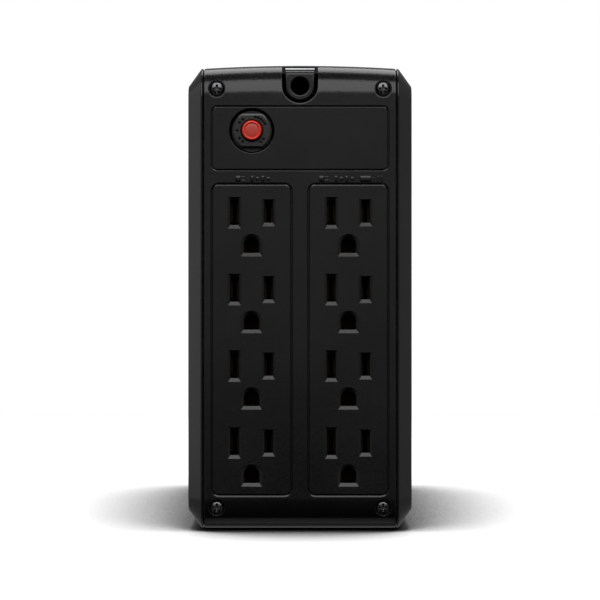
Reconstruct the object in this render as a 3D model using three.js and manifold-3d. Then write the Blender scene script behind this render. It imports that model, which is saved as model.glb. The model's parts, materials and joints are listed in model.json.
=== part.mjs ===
// A mini-tower uninterruptible power supply, as an assembly of separate solids.
// Millimetres, +Z up, origin at the bottom centre. The outlet panel faces -Y, the display faces +Y.
import * as THREE from 'three';
import { mergeVertices } from 'three/addons/utils/BufferGeometryUtils.js';
import Module from 'manifold-3d';

const wasm = await Module();
wasm.setup();

// Driving dimensions
const GAP = 0.3; // clearance between touching pieces
const HALF_WIDTH = 41.8;
const HEIGHT = 174.3;
const REAR = -119; // outlet panel's face
const FRONT = 120; // front bezel's face
const WALL = 2.5;
const UNDERSIDE = 0.8; // the shells stand on their feet by this much
const SPINE_HALF = 35.85; // half width of the panel, top, base and bezel between the side covers
const CORNER = 11.7; // fillet from the faces to the top and to the underside
const CROWN = 1.1; // rise of the top from the side covers to the middle
const RIM_DEPTH = 14; // depth of the rear panel's and the front bezel's rims
const SIDE_IN = SPINE_HALF + GAP; // inner edge of a side cover
const SIDE_BEVEL = 6.8; // width of a side cover's bevel, seen from the side

// Outlets, by the standard blade spacing of 12.7 mm
const BANK_X = 18;
const OUTLET_Z = [118.7, 90.2, 61.8, 33.2];
const BLADE_X = 6.35;
const GROUND_DROP = 11.9;
const SLOT = { width: 4.7, neutral: 11.5, line: 9.8, bevel: 1.05, bevelDepth: 1.2 };
const GROUND = { radius: 3.92, tail: 4.18 };

// Circuit breaker, cord gland and screws
const BREAKER = { x: -17.9, z: 149.2, recess: 8.35, floor: REAR + 1.8, hole: 6, button: 3.6 };
const BUTTON_OUT = 2; // how far the reset button stands out of the panel
const NOTCH = { half: 6.75, centre: 166.2, depth: 8 };
const GLAND = { half: 5.3, centre: 165.8, top: 172.3, hole: 3.4 };
const SCREW = { x: 30.95, high: 164.9, low: 9.1, recess: 3.25, head: 2.9 };

// Insides
const CARRIER = { half: 13.5, front: REAR + WALL + GAP, back: -99, low: 15, high: 128 };
const STRIP = { front: -98.7, back: -97.5 };
const BATTERY = { half: 32.5, front: 102, back: 8, low: 5, high: 156 };
const TRANSFORMER = { y: -43, z: 36, stack: 17, length: 66, height: 55, leg: 11, window: 11 };
const BOARD = { x: 31.2, thick: 1.6, back: -80, front: 0, low: 76, high: 160 };

// Front controls
const DISPLAY = { half: 22, low: 122, high: 156 };
const POWER = { z: 100, radius: 6.5 };
const TOGGLE = { z: 80, radius: 4 };

// ---------- helpers ----------

function toSolid(geometry) {
  const bare = geometry.clone();
  bare.deleteAttribute('normal');
  bare.deleteAttribute('uv');
  const merged = mergeVertices(bare, 1e-4);
  return new wasm.Manifold(new wasm.Mesh({
    numProp: 3,
    vertProperties: new Float32Array(merged.attributes.position.array),
    triVerts: new Uint32Array(merged.index.array),
  }));
}

function toGeometry(solid) {
  const mesh = solid.getMesh();
  const geometry = new THREE.BufferGeometry();
  geometry.setAttribute('position', new THREE.BufferAttribute(new Float32Array(mesh.vertProperties), 3));
  geometry.setIndex(new THREE.BufferAttribute(new Uint32Array(mesh.triVerts), 1));
  return geometry;
}

function block(x0, x1, y0, y1, z0, z1) {
  const geometry = new THREE.BoxGeometry(x1 - x0, y1 - y0, z1 - z0);
  return toSolid(geometry.translate((x0 + x1) / 2, (y0 + y1) / 2, (z0 + z1) / 2));
}

function rodY(radius, y0, y1, x, z, sides = 24) {
  const geometry = new THREE.CylinderGeometry(radius, radius, y1 - y0, sides);
  return toSolid(geometry.translate(x, (y0 + y1) / 2, z));
}

function rodX(radius, x0, x1, y, z, sides = 20) {
  const geometry = new THREE.CylinderGeometry(radius, radius, x1 - x0, sides).rotateZ(Math.PI / 2);
  return toSolid(geometry.translate((x0 + x1) / 2, y, z));
}

function rodZ(radius, z0, z1, x, y, sides = 24) {
  const geometry = new THREE.CylinderGeometry(radius, radius, z1 - z0, sides).rotateX(Math.PI / 2);
  return toSolid(geometry.translate(x, y, (z0 + z1) / 2));
}

// A shape drawn in X and Z, extruded from y0 to y1.
function prismY(shape, y0, y1, curveSegments = 3) {
  const geometry = new THREE.ExtrudeGeometry(shape, { depth: y1 - y0, bevelEnabled: false, curveSegments });
  return toSolid(geometry.rotateX(Math.PI / 2).translate(0, y1, 0));
}

// A shape drawn in Y and Z, extruded towards +X.
const YZ_TO_X = new THREE.Matrix4().makeBasis(
  new THREE.Vector3(0, 1, 0),
  new THREE.Vector3(0, 0, 1),
  new THREE.Vector3(1, 0, 0),
);

function prismX(shape, x0, x1, settings = {}) {
  const options = { depth: x1 - x0, bevelEnabled: false, curveSegments: 3, ...settings };
  return new THREE.ExtrudeGeometry(shape, options).applyMatrix4(YZ_TO_X).translate(x0, 0, 0);
}

function roundRect(target, a0, a1, b0, b1, r) {
  target.absarc(a1 - r, b0 + r, r, -Math.PI / 2, 0);
  target.absarc(a1 - r, b1 - r, r, 0, Math.PI / 2);
  target.absarc(a0 + r, b1 - r, r, Math.PI / 2, Math.PI);
  target.absarc(a0 + r, b0 + r, r, Math.PI, Math.PI * 1.5);
  target.closePath();
  return target;
}

function rectangle(x, z, halfX, halfZ) {
  return new THREE.Shape([
    new THREE.Vector2(x - halfX, z - halfZ),
    new THREE.Vector2(x + halfX, z - halfZ),
    new THREE.Vector2(x + halfX, z + halfZ),
    new THREE.Vector2(x - halfX, z + halfZ),
  ]);
}

// A domed outline with a flat bottom, for the ground pin.
function dome(x, z, radius, tail) {
  const shape = new THREE.Shape();
  shape.moveTo(x - radius, z - tail);
  shape.lineTo(x + radius, z - tail);
  shape.absarc(x, z, radius, 0, Math.PI);
  shape.closePath();
  return shape;
}

// A U-shaped outline: round at the bottom, square at the top.
function uShape(half, centre, top) {
  const shape = new THREE.Shape();
  shape.moveTo(half, top);
  shape.lineTo(-half, top);
  shape.absarc(0, centre, half, Math.PI, 2 * Math.PI);
  shape.closePath();
  return shape;
}

// Three.js puts twice curveSegments points on a full circle, so 4 gives an eight-sided tube.
function tube(points, radius, steps) {
  const path = new THREE.CatmullRomCurve3(points.map((p) => new THREE.Vector3(...p)));
  const section = new THREE.Shape();
  section.absarc(0, 0, radius, 0, 2 * Math.PI);
  return new THREE.ExtrudeGeometry(section, {
    extrudePath: path, steps, curveSegments: 4, bevelEnabled: false,
  });
}

function unite(solids) {
  return solids.reduce((whole, solid) => whole.add(solid));
}

function material(color, roughness, metalness = 0) {
  return new THREE.MeshStandardMaterial({ color, roughness, metalness });
}

const MATERIALS = {
  shell: material(0x232325, 0.55),
  gland: material(0x1e1e20, 0.5),
  screw: material(0x1a1a1c, 0.35, 0.9),
  red: material(0xa5342a, 0.35),
  collar: material(0x141415, 0.5),
  rubber: material(0x161616, 0.9),
  steel: material(0x9a9ca0, 0.35, 1),
  brass: material(0xb08d4a, 0.3, 1),
  nylon: material(0xd8d4c8, 0.6),
  board: material(0x1c5a34, 0.5),
  winding: material(0xb8702c, 0.45),
  battery: material(0x3c4046, 0.6),
  window: material(0x0c0e12, 0.08),
  redWire: material(0xb02018, 0.45),
  blackWire: material(0x141414, 0.45),
  whiteWire: material(0xd8d8d4, 0.45),
  greenWire: material(0x1f7a3a, 0.45),
  aluminium: material(0xb4b8bc, 0.4, 1),
};

const ups = new THREE.Group();

function put(name, shape, look) {
  const geometry = shape.isBufferGeometry ? shape : toGeometry(shape);
  const mesh = new THREE.Mesh(geometry, MATERIALS[look].clone());
  mesh.name = name;
  ups.add(mesh);
}

// ---------- shells ----------

// The ring of wall that the panel, top, base and bezel are cut from, with its crowned top.
function spineShell() {
  const shape = roundRect(new THREE.Shape(), REAR, FRONT, UNDERSIDE, HEIGHT, CORNER);
  const inner = roundRect(
    new THREE.Path(), REAR + WALL, FRONT - WALL, UNDERSIDE + WALL, HEIGHT - WALL, CORNER - WALL,
  );
  shape.holes.push(inner);
  const geometry = prismX(shape, -SPINE_HALF, SPINE_HALF, { steps: 4 });
  const position = geometry.attributes.position;
  const crownStart = HEIGHT - CORNER - WALL;
  for (let i = 0; i < position.count; i += 1) {
    const share = Math.max(0, (position.getZ(i) - crownStart) / (HEIGHT - crownStart));
    const drop = CROWN * (position.getX(i) / SPINE_HALF) ** 2;
    position.setZ(i, position.getZ(i) - drop * share);
  }
  return toSolid(geometry);
}

const SPINE = spineShell();
const REAR_RIM = REAR + RIM_DEPTH;
const FRONT_RIM = FRONT - RIM_DEPTH;

function groove(x0, x1, z0, z1, side, end, radius) {
  const shape = roundRect(new THREE.Shape(), x0, x1, z0, z1, radius);
  shape.holes.push(roundRect(new THREE.Path(), x0 + side, x1 - side, z0 + end, z1 - end, radius - end));
  return prismY(shape, REAR - 1, REAR + 0.5, 1);
}

// Cutter for one outlet hole: a bevelled mouth, then a straight hole through the wall.
function mouth(outline, inner) {
  const wide = new THREE.ExtrudeGeometry(outline, {
    depth: 2,
    bevelEnabled: true,
    bevelSegments: 1,
    bevelThickness: SLOT.bevelDepth,
    bevelSize: SLOT.bevel,
    bevelOffset: -SLOT.bevel,
    curveSegments: 3,
  });
  const entry = toSolid(wide.rotateX(Math.PI / 2).translate(0, REAR, 0));
  return entry.add(prismY(inner, REAR - 1, REAR + WALL + 1));
}

function outletCutters(x, z) {
  const half = SLOT.width / 2;
  const inset = SLOT.bevel;
  const neutral = [x - BLADE_X, z];
  const line = [x + BLADE_X, z];
  return [
    mouth(
      rectangle(...neutral, half, SLOT.neutral / 2),
      rectangle(...neutral, half - inset, SLOT.neutral / 2 - inset),
    ),
    mouth(
      rectangle(...line, half, SLOT.line / 2),
      rectangle(...line, half - inset, SLOT.line / 2 - inset),
    ),
    mouth(
      dome(x, z - GROUND_DROP, GROUND.radius, GROUND.tail),
      dome(x, z - GROUND_DROP, GROUND.radius - inset, GROUND.tail - inset),
    ),
  ];
}

function screwPlaces() {
  const places = [];
  for (const z of [SCREW.high, SCREW.low]) {
    for (const x of [-SCREW.x, SCREW.x]) {
      places.push([x, z]);
    }
  }
  return places;
}

// Raised generic marks above the banks: a plug on the left, a plug and a cell on the right.
function bankMarks() {
  const marks = [];
  const bar = (x, z, halfX, halfZ) => {
    marks.push(prismY(rectangle(x, z, halfX, halfZ), REAR - 0.3, REAR + 1));
  };
  for (const x of [-BANK_X, BANK_X - 6]) {
    bar(x, 131.5, 1.6, 1);
    bar(x + 2.3, 132, 0.9, 0.2);
    bar(x + 2.3, 131, 0.9, 0.2);
  }
  bar(BANK_X + 6, 131.5, 2.4, 1);
  bar(BANK_X + 8.6, 131.5, 0.4, 0.5);
  return marks;
}

function rearPanel() {
  const region = block(-50, 50, REAR - 1, REAR_RIM, 0, 200);
  const bosses = screwPlaces().map(([x, z]) => rodY(4.7, REAR + 3, REAR_RIM, x, z, 16));
  const breakerBoss = rodY(10.5, REAR + 1, BREAKER.floor + 2.6, BREAKER.x, BREAKER.z, 32);
  let panel = unite([SPINE.intersect(region), breakerBoss, ...bosses, ...bankMarks()]);

  const cutters = [
    rodY(BREAKER.recess, REAR - 1, BREAKER.floor, BREAKER.x, BREAKER.z, 32),
    rodY(BREAKER.hole, REAR - 1, REAR + 6, BREAKER.x, BREAKER.z, 24),
    prismY(uShape(NOTCH.half, NOTCH.centre, HEIGHT + 2), REAR - 1, REAR + NOTCH.depth, 6),
    groove(-33.2, 33.2, 134.2, 158.6, 1.7, 1.1, 2.4),
    groove(-33.2, -2.7, 13.2, 129.8, 1.7, 1.0, 3.2),
    groove(2.7, 33.2, 13.2, 129.8, 1.7, 1.0, 3.2),
  ];
  for (const [x, z] of screwPlaces()) {
    cutters.push(rodY(SCREW.recess, REAR - 1, REAR + 2.6, x, z, 20));
    cutters.push(rodY(1.8, REAR, REAR_RIM + 1, x, z, 10));
  }
  for (const x of [-BANK_X, BANK_X]) {
    for (const z of OUTLET_Z) {
      cutters.push(...outletCutters(x, z));
    }
  }
  panel = panel.subtract(unite(cutters));
  return panel;
}

function topCover() {
  const shell = SPINE.intersect(block(-50, 50, REAR_RIM + GAP, FRONT_RIM - GAP, 100, 200));
  const pieces = [shell];
  for (const side of [-1, 1]) {
    const lip = [side * (SPINE_HALF - 1.8), side * SPINE_HALF].sort((a, b) => a - b);
    pieces.push(block(...lip, REAR_RIM + GAP, FRONT_RIM - GAP, HEIGHT - 14, HEIGHT - 3));
    pieces.push(rodY(3.7, REAR_RIM + GAP, REAR_RIM + 10, side * SCREW.x, SCREW.high, 16));
    const x = side * SCREW.x;
    pieces.push(block(x - 1.5, x + 1.5, REAR_RIM + GAP, REAR_RIM + 10, 166, HEIGHT - WALL));
  }
  const holes = [-1, 1].map((side) => rodY(1.8, REAR_RIM, REAR_RIM + 11, side * SCREW.x, SCREW.high, 10));
  return unite(pieces).subtract(unite(holes));
}

const DOOR = { half: 33.5, back: 4, top: UNDERSIDE + WALL };
const FOOT = { radius: 6, x: 25, rear: -92, front: 90, seat: UNDERSIDE + 1.2 };

function baseTray() {
  const shell = SPINE.intersect(block(-50, 50, REAR_RIM + GAP, FRONT_RIM - GAP, 0, 100));
  const pieces = [shell];
  for (const side of [-1, 1]) {
    const wall = [side * (SPINE_HALF - 1.8), side * SPINE_HALF].sort((a, b) => a - b);
    pieces.push(block(...wall, REAR_RIM + GAP, FRONT_RIM - GAP, 3, 22));
    pieces.push(rodY(3.7, REAR_RIM + GAP, REAR_RIM + 10, side * SCREW.x, SCREW.low, 16));
    pieces.push(block(side * SCREW.x - 1.5, side * SCREW.x + 1.5, REAR_RIM + GAP, REAR_RIM + 10, 3, 8));
  }
  const cutters = [block(-DOOR.half - GAP, DOOR.half + GAP, DOOR.back - GAP, FRONT, 0, 4)];
  for (const side of [-1, 1]) {
    cutters.push(rodY(1.8, REAR_RIM, REAR_RIM + 11, side * SCREW.x, SCREW.low, 10));
    cutters.push(rodZ(FOOT.radius + GAP, 0, FOOT.seat, side * FOOT.x, FOOT.rear));
  }
  return unite(pieces).subtract(unite(cutters));
}

// The door on the underside runs forward under the bezel's lower edge.
function batteryDoor() {
  const shape = roundRect(new THREE.Shape(), REAR, FRONT, UNDERSIDE, HEIGHT, CORNER);
  const slab = toSolid(prismX(shape, -DOOR.half, DOOR.half));
  const door = slab.intersect(block(-50, 50, DOOR.back, FRONT + 1, 0, DOOR.top));
  const seats = [-1, 1].map((side) => rodZ(FOOT.radius + GAP, 0, FOOT.seat, side * FOOT.x, FOOT.front));
  const grip = block(-12, 12, 20, 24, 0, UNDERSIDE + 1);
  return door.subtract(unite([...seats, grip]));
}

function frontBezel() {
  const region = block(-50, 50, FRONT_RIM, FRONT + 1, 0, 200);
  const cutters = [
    block(-DOOR.half - GAP, DOOR.half + GAP, FRONT_RIM - 1, FRONT + 1, 0, DOOR.top + GAP),
    prismY(
      roundRect(new THREE.Shape(), -DISPLAY.half, DISPLAY.half, DISPLAY.low, DISPLAY.high, 3),
      FRONT - WALL - 1, FRONT + 1, 2,
    ),
    rodY(POWER.radius + GAP, FRONT - WALL - 1, FRONT + 1, 0, POWER.z, 28),
    rodY(TOGGLE.radius + GAP, FRONT - WALL - 1, FRONT + 1, 0, TOGGLE.z, 24),
  ];
  return SPINE.intersect(region).subtract(unite(cutters));
}

// A side cover, built on the +X side: a bevelled pan, open towards the inside, with vent slots.
function sideCover() {
  const outline = roundRect(new THREE.Shape(), REAR, FRONT, UNDERSIDE, HEIGHT - CROWN, CORNER);
  const bulge = HALF_WIDTH - SIDE_IN;
  const pan = (shape, start, depth, bevel, rise) => toSolid(prismX(shape, start, start + depth, {
    bevelEnabled: true, bevelSegments: 1, bevelThickness: rise, bevelSize: bevel, bevelOffset: -bevel,
  }));
  const outer = pan(outline, SIDE_IN - 4, 4.6, SIDE_BEVEL, bulge - 0.6)
    .intersect(block(SIDE_IN, HALF_WIDTH, -200, 200, 0, 200));
  const hollow = roundRect(
    new THREE.Shape(), REAR + WALL, FRONT - WALL, UNDERSIDE + WALL, HEIGHT - CROWN - WALL, CORNER - WALL,
  );
  const inner = pan(hollow, SIDE_IN - 4, 4.2, SIDE_BEVEL, bulge - 0.2 - 2.2);
  const vents = [];
  for (let i = 0; i < 9; i += 1) {
    const y = -70 + i * 6;
    for (const z of [38, 120]) {
      vents.push(block(HALF_WIDTH - 4, HALF_WIDTH + 1, y - 1.2, y + 1.2, z - 14, z + 14));
    }
  }
  return outer.subtract(unite([inner, ...vents]));
}

put('rear_panel', rearPanel(), 'shell');
put('top_cover', topCover(), 'shell');
put('base_tray', baseTray(), 'shell');
put('battery_door', batteryDoor(), 'shell');
put('front_bezel', frontBezel(), 'shell');
const rightCover = sideCover();
put('right_side_cover', rightCover, 'shell');
put('left_side_cover', rightCover.mirror([1, 0, 0]), 'shell');

function foot(side, y) {
  return rodZ(FOOT.radius, 0, FOOT.seat - GAP, side * FOOT.x, y);
}

[[-1, FOOT.rear], [1, FOOT.rear], [-1, FOOT.front], [1, FOOT.front]].forEach(([side, y], index) => {
  put(`foot_${index + 1}`, foot(side, y), 'rubber');
});

// ---------- gland, screws and breaker ----------

function cordGland() {
  const plug = prismY(uShape(GLAND.half, GLAND.centre, HEIGHT), REAR, REAR + NOTCH.depth - GAP, 6);
  const inset = HEIGHT - GLAND.top;
  const limit = roundRect(new THREE.Shape(), REAR + 0.6, FRONT, UNDERSIDE, GLAND.top, CORNER - inset);
  const body = plug.intersect(toSolid(prismX(limit, -SPINE_HALF, SPINE_HALF)));
  const flange = block(-8.8, 8.8, REAR + WALL + GAP, REAR + 5.5, 156, 163);
  const hole = rodY(GLAND.hole, REAR - 1, REAR + 12, 0, GLAND.centre);
  return body.add(flange).subtract(hole);
}

function panelScrew(x, z) {
  const head = rodY(SCREW.head, REAR + 1.2, REAR + 2.3, x, z, 20);
  const shank = rodY(1.4, REAR + 2, REAR_RIM + 9, x, z, 10);
  const cross = block(x - 1.6, x + 1.6, REAR + 1, REAR + 2, z - 0.35, z + 0.35)
    .add(block(x - 0.35, x + 0.35, REAR + 1, REAR + 2, z - 1.6, z + 1.6));
  return head.add(shank).subtract(cross);
}

function doubleD(radius, halfHeight) {
  const angle = Math.asin(halfHeight / radius);
  const shape = new THREE.Shape();
  shape.absarc(BREAKER.x, BREAKER.z, radius, -angle, angle);
  shape.absarc(BREAKER.x, BREAKER.z, radius, Math.PI - angle, Math.PI + angle);
  shape.closePath();
  return shape;
}

const NECK = { radius: 5.7, bore: 4, front: BREAKER.floor + 0.6, body: BREAKER.floor + 2.9, back: -88 };

function breakerBezel() {
  const plate = prismY(doubleD(7.5, 6.5), REAR + 0.3, BREAKER.floor - GAP, 4);
  return plate.subtract(rodY(4.25, REAR - 1, REAR + 5, BREAKER.x, BREAKER.z));
}

function breakerHousing() {
  const neck = rodY(NECK.radius, NECK.front, NECK.body + 1, BREAKER.x, BREAKER.z);
  const body = block(BREAKER.x - 7, BREAKER.x + 7, NECK.body, NECK.back, BREAKER.z - 11, BREAKER.z + 9);
  return neck.add(body).subtract(rodY(NECK.bore, REAR, REAR + 15, BREAKER.x, BREAKER.z));
}

function breakerButton() {
  const cap = rodY(BREAKER.button, REAR - BUTTON_OUT, REAR + 10, BREAKER.x, BREAKER.z);
  return cap.subtract(rodY(2.55, REAR - BUTTON_OUT - 1, REAR - BUTTON_OUT + 0.3, BREAKER.x, BREAKER.z));
}

put('cord_gland', cordGland(), 'gland');
screwPlaces().forEach(([x, z], index) => put(`panel_screw_${index + 1}`, panelScrew(x, z), 'screw'));
put('breaker_bezel', breakerBezel(), 'collar');
put('breaker_housing', breakerHousing(), 'collar');
put('breaker_button', breakerButton(), 'red');
[-6, 4].forEach((dz, index) => {
  const z = BREAKER.z + dz;
  const tab = block(BREAKER.x - 3.1, BREAKER.x + 3.1, NECK.back + GAP, -79, z, z + 0.8);
  put(`breaker_tab_${index + 1}`, tab, 'brass');
});

// ---------- outlet contacts ----------

function contactCarrier(x) {
  const half = CARRIER.half;
  const body = block(x - half, x + half, CARRIER.front, CARRIER.back, CARRIER.low, CARRIER.high);
  const cells = [];
  for (const z of OUTLET_Z) {
    const cell = (dx, dz, halfX, halfZ) => cells.push(
      block(x + dx - halfX, x + dx + halfX, REAR, 0, z + dz - halfZ, z + dz + halfZ),
    );
    cell(-BLADE_X, 0, 1.8, 4.8);
    cell(BLADE_X, 0, 1.8, 4.8);
    cell(0, -GROUND_DROP, 3.5, 3.5);
  }
  return body.subtract(unite(cells));
}

// A strip along the bank, with two spring leaves reaching into the cell of each outlet.
function busBar(x, dz, halfStrip, leafGap, leafHalf) {
  const low = OUTLET_Z.at(-1) + dz - 6;
  const high = OUTLET_Z[0] + dz + 6;
  const pieces = [block(x - halfStrip, x + halfStrip, STRIP.front, STRIP.back, low, high)];
  for (const z of OUTLET_Z) {
    for (const side of [-1, 1]) {
      const leaf = [x + side * leafGap, x + side * (leafGap + 0.6)].sort((a, b) => a - b);
      pieces.push(block(...leaf, REAR + 6, STRIP.back, z + dz - leafHalf, z + dz + leafHalf));
    }
  }
  return unite(pieces);
}

const WIRE_ENDS = [];

[['left', -BANK_X], ['right', BANK_X]].forEach(([side, x]) => {
  put(`${side}_contact_carrier`, contactCarrier(x), 'nylon');
  put(`${side}_neutral_bus_bar`, busBar(x - BLADE_X, 0, 2.4, 0.8, 3.4), 'brass');
  put(`${side}_ground_bus_bar`, busBar(x, -GROUND_DROP, 3.4, 2.5, 2.4), 'brass');
  put(`${side}_line_bus_bar`, busBar(x + BLADE_X, 0, 2.4, 0.8, 3.4), 'brass');
  WIRE_ENDS.push([`${side}_neutral_wire`, x - BLADE_X, 'whiteWire']);
  WIRE_ENDS.push([`${side}_ground_wire`, x, 'greenWire']);
  WIRE_ENDS.push([`${side}_line_wire`, x + BLADE_X, 'blackWire']);
});

// Each wire leaves its bus bar at a height of its own, so that none touches another.
WIRE_ENDS.forEach(([name, x, look], index) => {
  const z = 108 - index * 3.6;
  const points = [
    [x, STRIP.back + GAP, z],
    [x, STRIP.back + 6, z],
    [(x + 27) / 2, STRIP.back + 14, z],
    [26, BOARD.back + 3, z],
    [BOARD.x - 2, BOARD.back + 3, z],
    [BOARD.x - 2 * GAP, BOARD.back + 3, z],
  ];
  put(name, tube(points, 1.3, 12), look);
});

// ---------- battery, transformer and boards ----------

function batteryCase() {
  return block(-BATTERY.half, BATTERY.half, BATTERY.back, BATTERY.front, BATTERY.low, BATTERY.high);
}

const TERMINAL = { x: -24, high: 143, low: 18, reach: 6.5 };

function batteryTerminal(z) {
  const end = BATTERY.back - GAP;
  return block(TERMINAL.x - 3.1, TERMINAL.x + 3.1, end - TERMINAL.reach, end, z - 0.4, z + 0.4);
}

function transformerCore() {
  const { y, z, stack, length, height, leg, window } = TRANSFORMER;
  const core = block(-stack, stack, y - length / 2, y + length / 2, z - height / 2, z + height / 2);
  const windowHalf = height / 2 - leg;
  const windows = [-1, 1].map((side) => {
    const ends = [y + side * leg, y + side * (leg + window)].sort((a, b) => a - b);
    return block(-50, 50, ...ends, z - windowHalf, z + windowHalf);
  });
  return core.subtract(unite(windows));
}

function transformerWinding() {
  const { y, z, stack, height, leg, window } = TRANSFORMER;
  const reach = leg + window - GAP;
  const half = height / 2 - leg - GAP;
  const coil = block(-stack - 10, stack + 10, y - reach, y + reach, z - half, z + half);
  return coil.subtract(block(-stack - GAP, stack + GAP, y - leg - GAP, y + leg + GAP, 0, 100));
}

function transformerBracket() {
  const { y, z, stack, length, height } = TRANSFORMER;
  const inner = length / 2 + GAP;
  const low = z - height / 2;
  const cradle = block(-stack, stack, y - inner - 1.5, y + inner + 1.5, low - GAP - 1.5, z);
  return cradle.subtract(block(-50, 50, y - inner, y + inner, low - GAP, 100));
}

function heatSink() {
  const pieces = [block(9, BOARD.x - 2, -58, -22, 82, 85)];
  for (let i = 0; i < 6; i += 1) {
    const x = 10 + i * 3.6;
    pieces.push(block(x - 0.7, x + 0.7, -58, -22, 84, 104));
  }
  return unite(pieces);
}

function frontBoard() {
  const board = block(-26, 26, FRONT_RIM + 1.5, FRONT_RIM + 3.1, 68, 160);
  const switches = [POWER.z, TOGGLE.z].map((z) => block(-3, 3, FRONT_RIM + 3, FRONT_RIM + 5, z - 3, z + 3));
  return board.add(unite(switches));
}

// A push button: the cap in the bezel, a flange behind it and a stem towards its switch.
function pushButton(z, radius) {
  const cap = rodY(radius, FRONT - 5, FRONT + 1, 0, z, 28);
  const flange = rodY(radius + 1.2, FRONT - 5.5, FRONT - WALL - 0.8, 0, z, 28);
  const stem = rodY(1.6, FRONT_RIM + 7, FRONT - 5, 0, z, 10);
  return cap.add(flange).add(stem);
}

function displayWindow() {
  const shape = roundRect(
    new THREE.Shape(), -DISPLAY.half + GAP, DISPLAY.half - GAP, DISPLAY.low + GAP, DISPLAY.high - GAP, 2.7,
  );
  return prismY(shape, FRONT - WALL + 0.2, FRONT - 0.2, 2);
}

put('battery_case', batteryCase(), 'battery');
put('battery_terminal_positive', batteryTerminal(TERMINAL.high), 'brass');
put('battery_terminal_negative', batteryTerminal(TERMINAL.low), 'brass');
put('transformer_core', transformerCore(), 'steel');
put('transformer_winding', transformerWinding(), 'winding');
put('transformer_bracket', transformerBracket(), 'steel');
const mainBoard = block(BOARD.x, BOARD.x + BOARD.thick, BOARD.back, BOARD.front, BOARD.low, BOARD.high);
put('main_board', mainBoard, 'board');
put('heat_sink', heatSink(), 'aluminium');
const FACE = BOARD.x - GAP; // where parts stand on the main board
[-52, -34].forEach((y, index) => {
  put(`mosfet_${index + 1}`, block(FACE - 5, FACE, y - 5, y + 5, 107, 123), 'collar');
  put(`transfer_relay_${index + 1}`, block(FACE - 15, FACE, y - 8, y + 8, 142, 156), 'nylon');
});
[-68, -52].forEach((y, index) => {
  put(`capacitor_${index + 1}`, rodX(6, FACE - 20, FACE, y, 132), 'blackWire');
});
put('buzzer', rodX(5.5, FACE - 8, FACE, -32, 132), 'collar');
put('fuse', rodX(2.6, FACE - 18, FACE, -18, 148, 12), 'nylon');

const LEAD_START = BATTERY.back - TERMINAL.reach - 2 * GAP;
put('battery_lead_red', tube([
  [TERMINAL.x, LEAD_START, TERMINAL.high],
  [TERMINAL.x, LEAD_START - 6, TERMINAL.high],
  [-12, LEAD_START - 11, 140],
  [10, LEAD_START - 11, 134],
  [25, LEAD_START - 11, 130],
  [FACE - GAP, LEAD_START - 11, 130],
], 1.8, 16), 'redWire');
put('battery_lead_black', tube([
  [TERMINAL.x, LEAD_START, TERMINAL.low],
  [TERMINAL.x, LEAD_START - 3, TERMINAL.low],
  [TERMINAL.x, LEAD_START - 5, 28],
  [TERMINAL.x, LEAD_START - 5, 62],
  [-16, LEAD_START - 8, 92],
  [6, LEAD_START - 11, 110],
  [25, LEAD_START - 11, 114],
  [FACE - GAP, LEAD_START - 11, 114],
], 1.8, 24), 'blackWire');

put('front_board', frontBoard(), 'board');
put('lcd_module', block(-19, 19, FRONT_RIM + 4, FRONT_RIM + 11, 124, 154), 'collar');
put('display_window', displayWindow(), 'window');
put('power_button', pushButton(POWER.z, POWER.radius), 'shell');
put('display_button', pushButton(TOGGLE.z, TOGGLE.radius), 'shell');

export default ups;
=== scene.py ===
"""Mini-tower uninterruptible power supply: visible shells, controls, materials, light and camera."""

import json
import math

import bmesh
import bpy
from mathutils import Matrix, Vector

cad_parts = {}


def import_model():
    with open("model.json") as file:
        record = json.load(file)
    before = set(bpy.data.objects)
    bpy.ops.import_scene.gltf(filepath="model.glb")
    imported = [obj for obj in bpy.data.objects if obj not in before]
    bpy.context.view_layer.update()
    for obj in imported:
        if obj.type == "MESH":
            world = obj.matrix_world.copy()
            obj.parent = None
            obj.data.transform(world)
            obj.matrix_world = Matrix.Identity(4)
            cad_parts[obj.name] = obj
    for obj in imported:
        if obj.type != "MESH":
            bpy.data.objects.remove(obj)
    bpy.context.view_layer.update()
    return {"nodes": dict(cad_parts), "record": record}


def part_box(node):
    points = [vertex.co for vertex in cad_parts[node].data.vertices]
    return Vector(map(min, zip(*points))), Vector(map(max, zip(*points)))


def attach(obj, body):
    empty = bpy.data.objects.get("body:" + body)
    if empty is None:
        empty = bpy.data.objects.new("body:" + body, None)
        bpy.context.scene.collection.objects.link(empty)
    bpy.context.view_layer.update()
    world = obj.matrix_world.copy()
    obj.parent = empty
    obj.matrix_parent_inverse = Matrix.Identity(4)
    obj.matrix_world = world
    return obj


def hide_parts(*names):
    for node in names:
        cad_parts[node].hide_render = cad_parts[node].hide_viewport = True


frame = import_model()

MM = 0.001


def mm_box(node):
    low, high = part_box(node)
    return [v / MM for v in low], [v / MM for v in high]


# Driving places, in millimetres, read from the frame
PANEL_HIGH = mm_box("rear_panel")[1]
COVER_LOW, COVER_HIGH = mm_box("right_side_cover")
TOP_LOW, TOP_HIGH = mm_box("top_cover")
TRAY_LOW, TRAY_HIGH = mm_box("base_tray")
DOOR_LOW, DOOR_HIGH = mm_box("battery_door")
WINDOW_LOW, WINDOW_HIGH = mm_box("display_window")
BREAKER_LOW, BREAKER_HIGH = mm_box("breaker_button")
POWER_LOW, POWER_HIGH = mm_box("power_button")
TOGGLE_LOW, TOGGLE_HIGH = mm_box("display_button")

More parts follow.
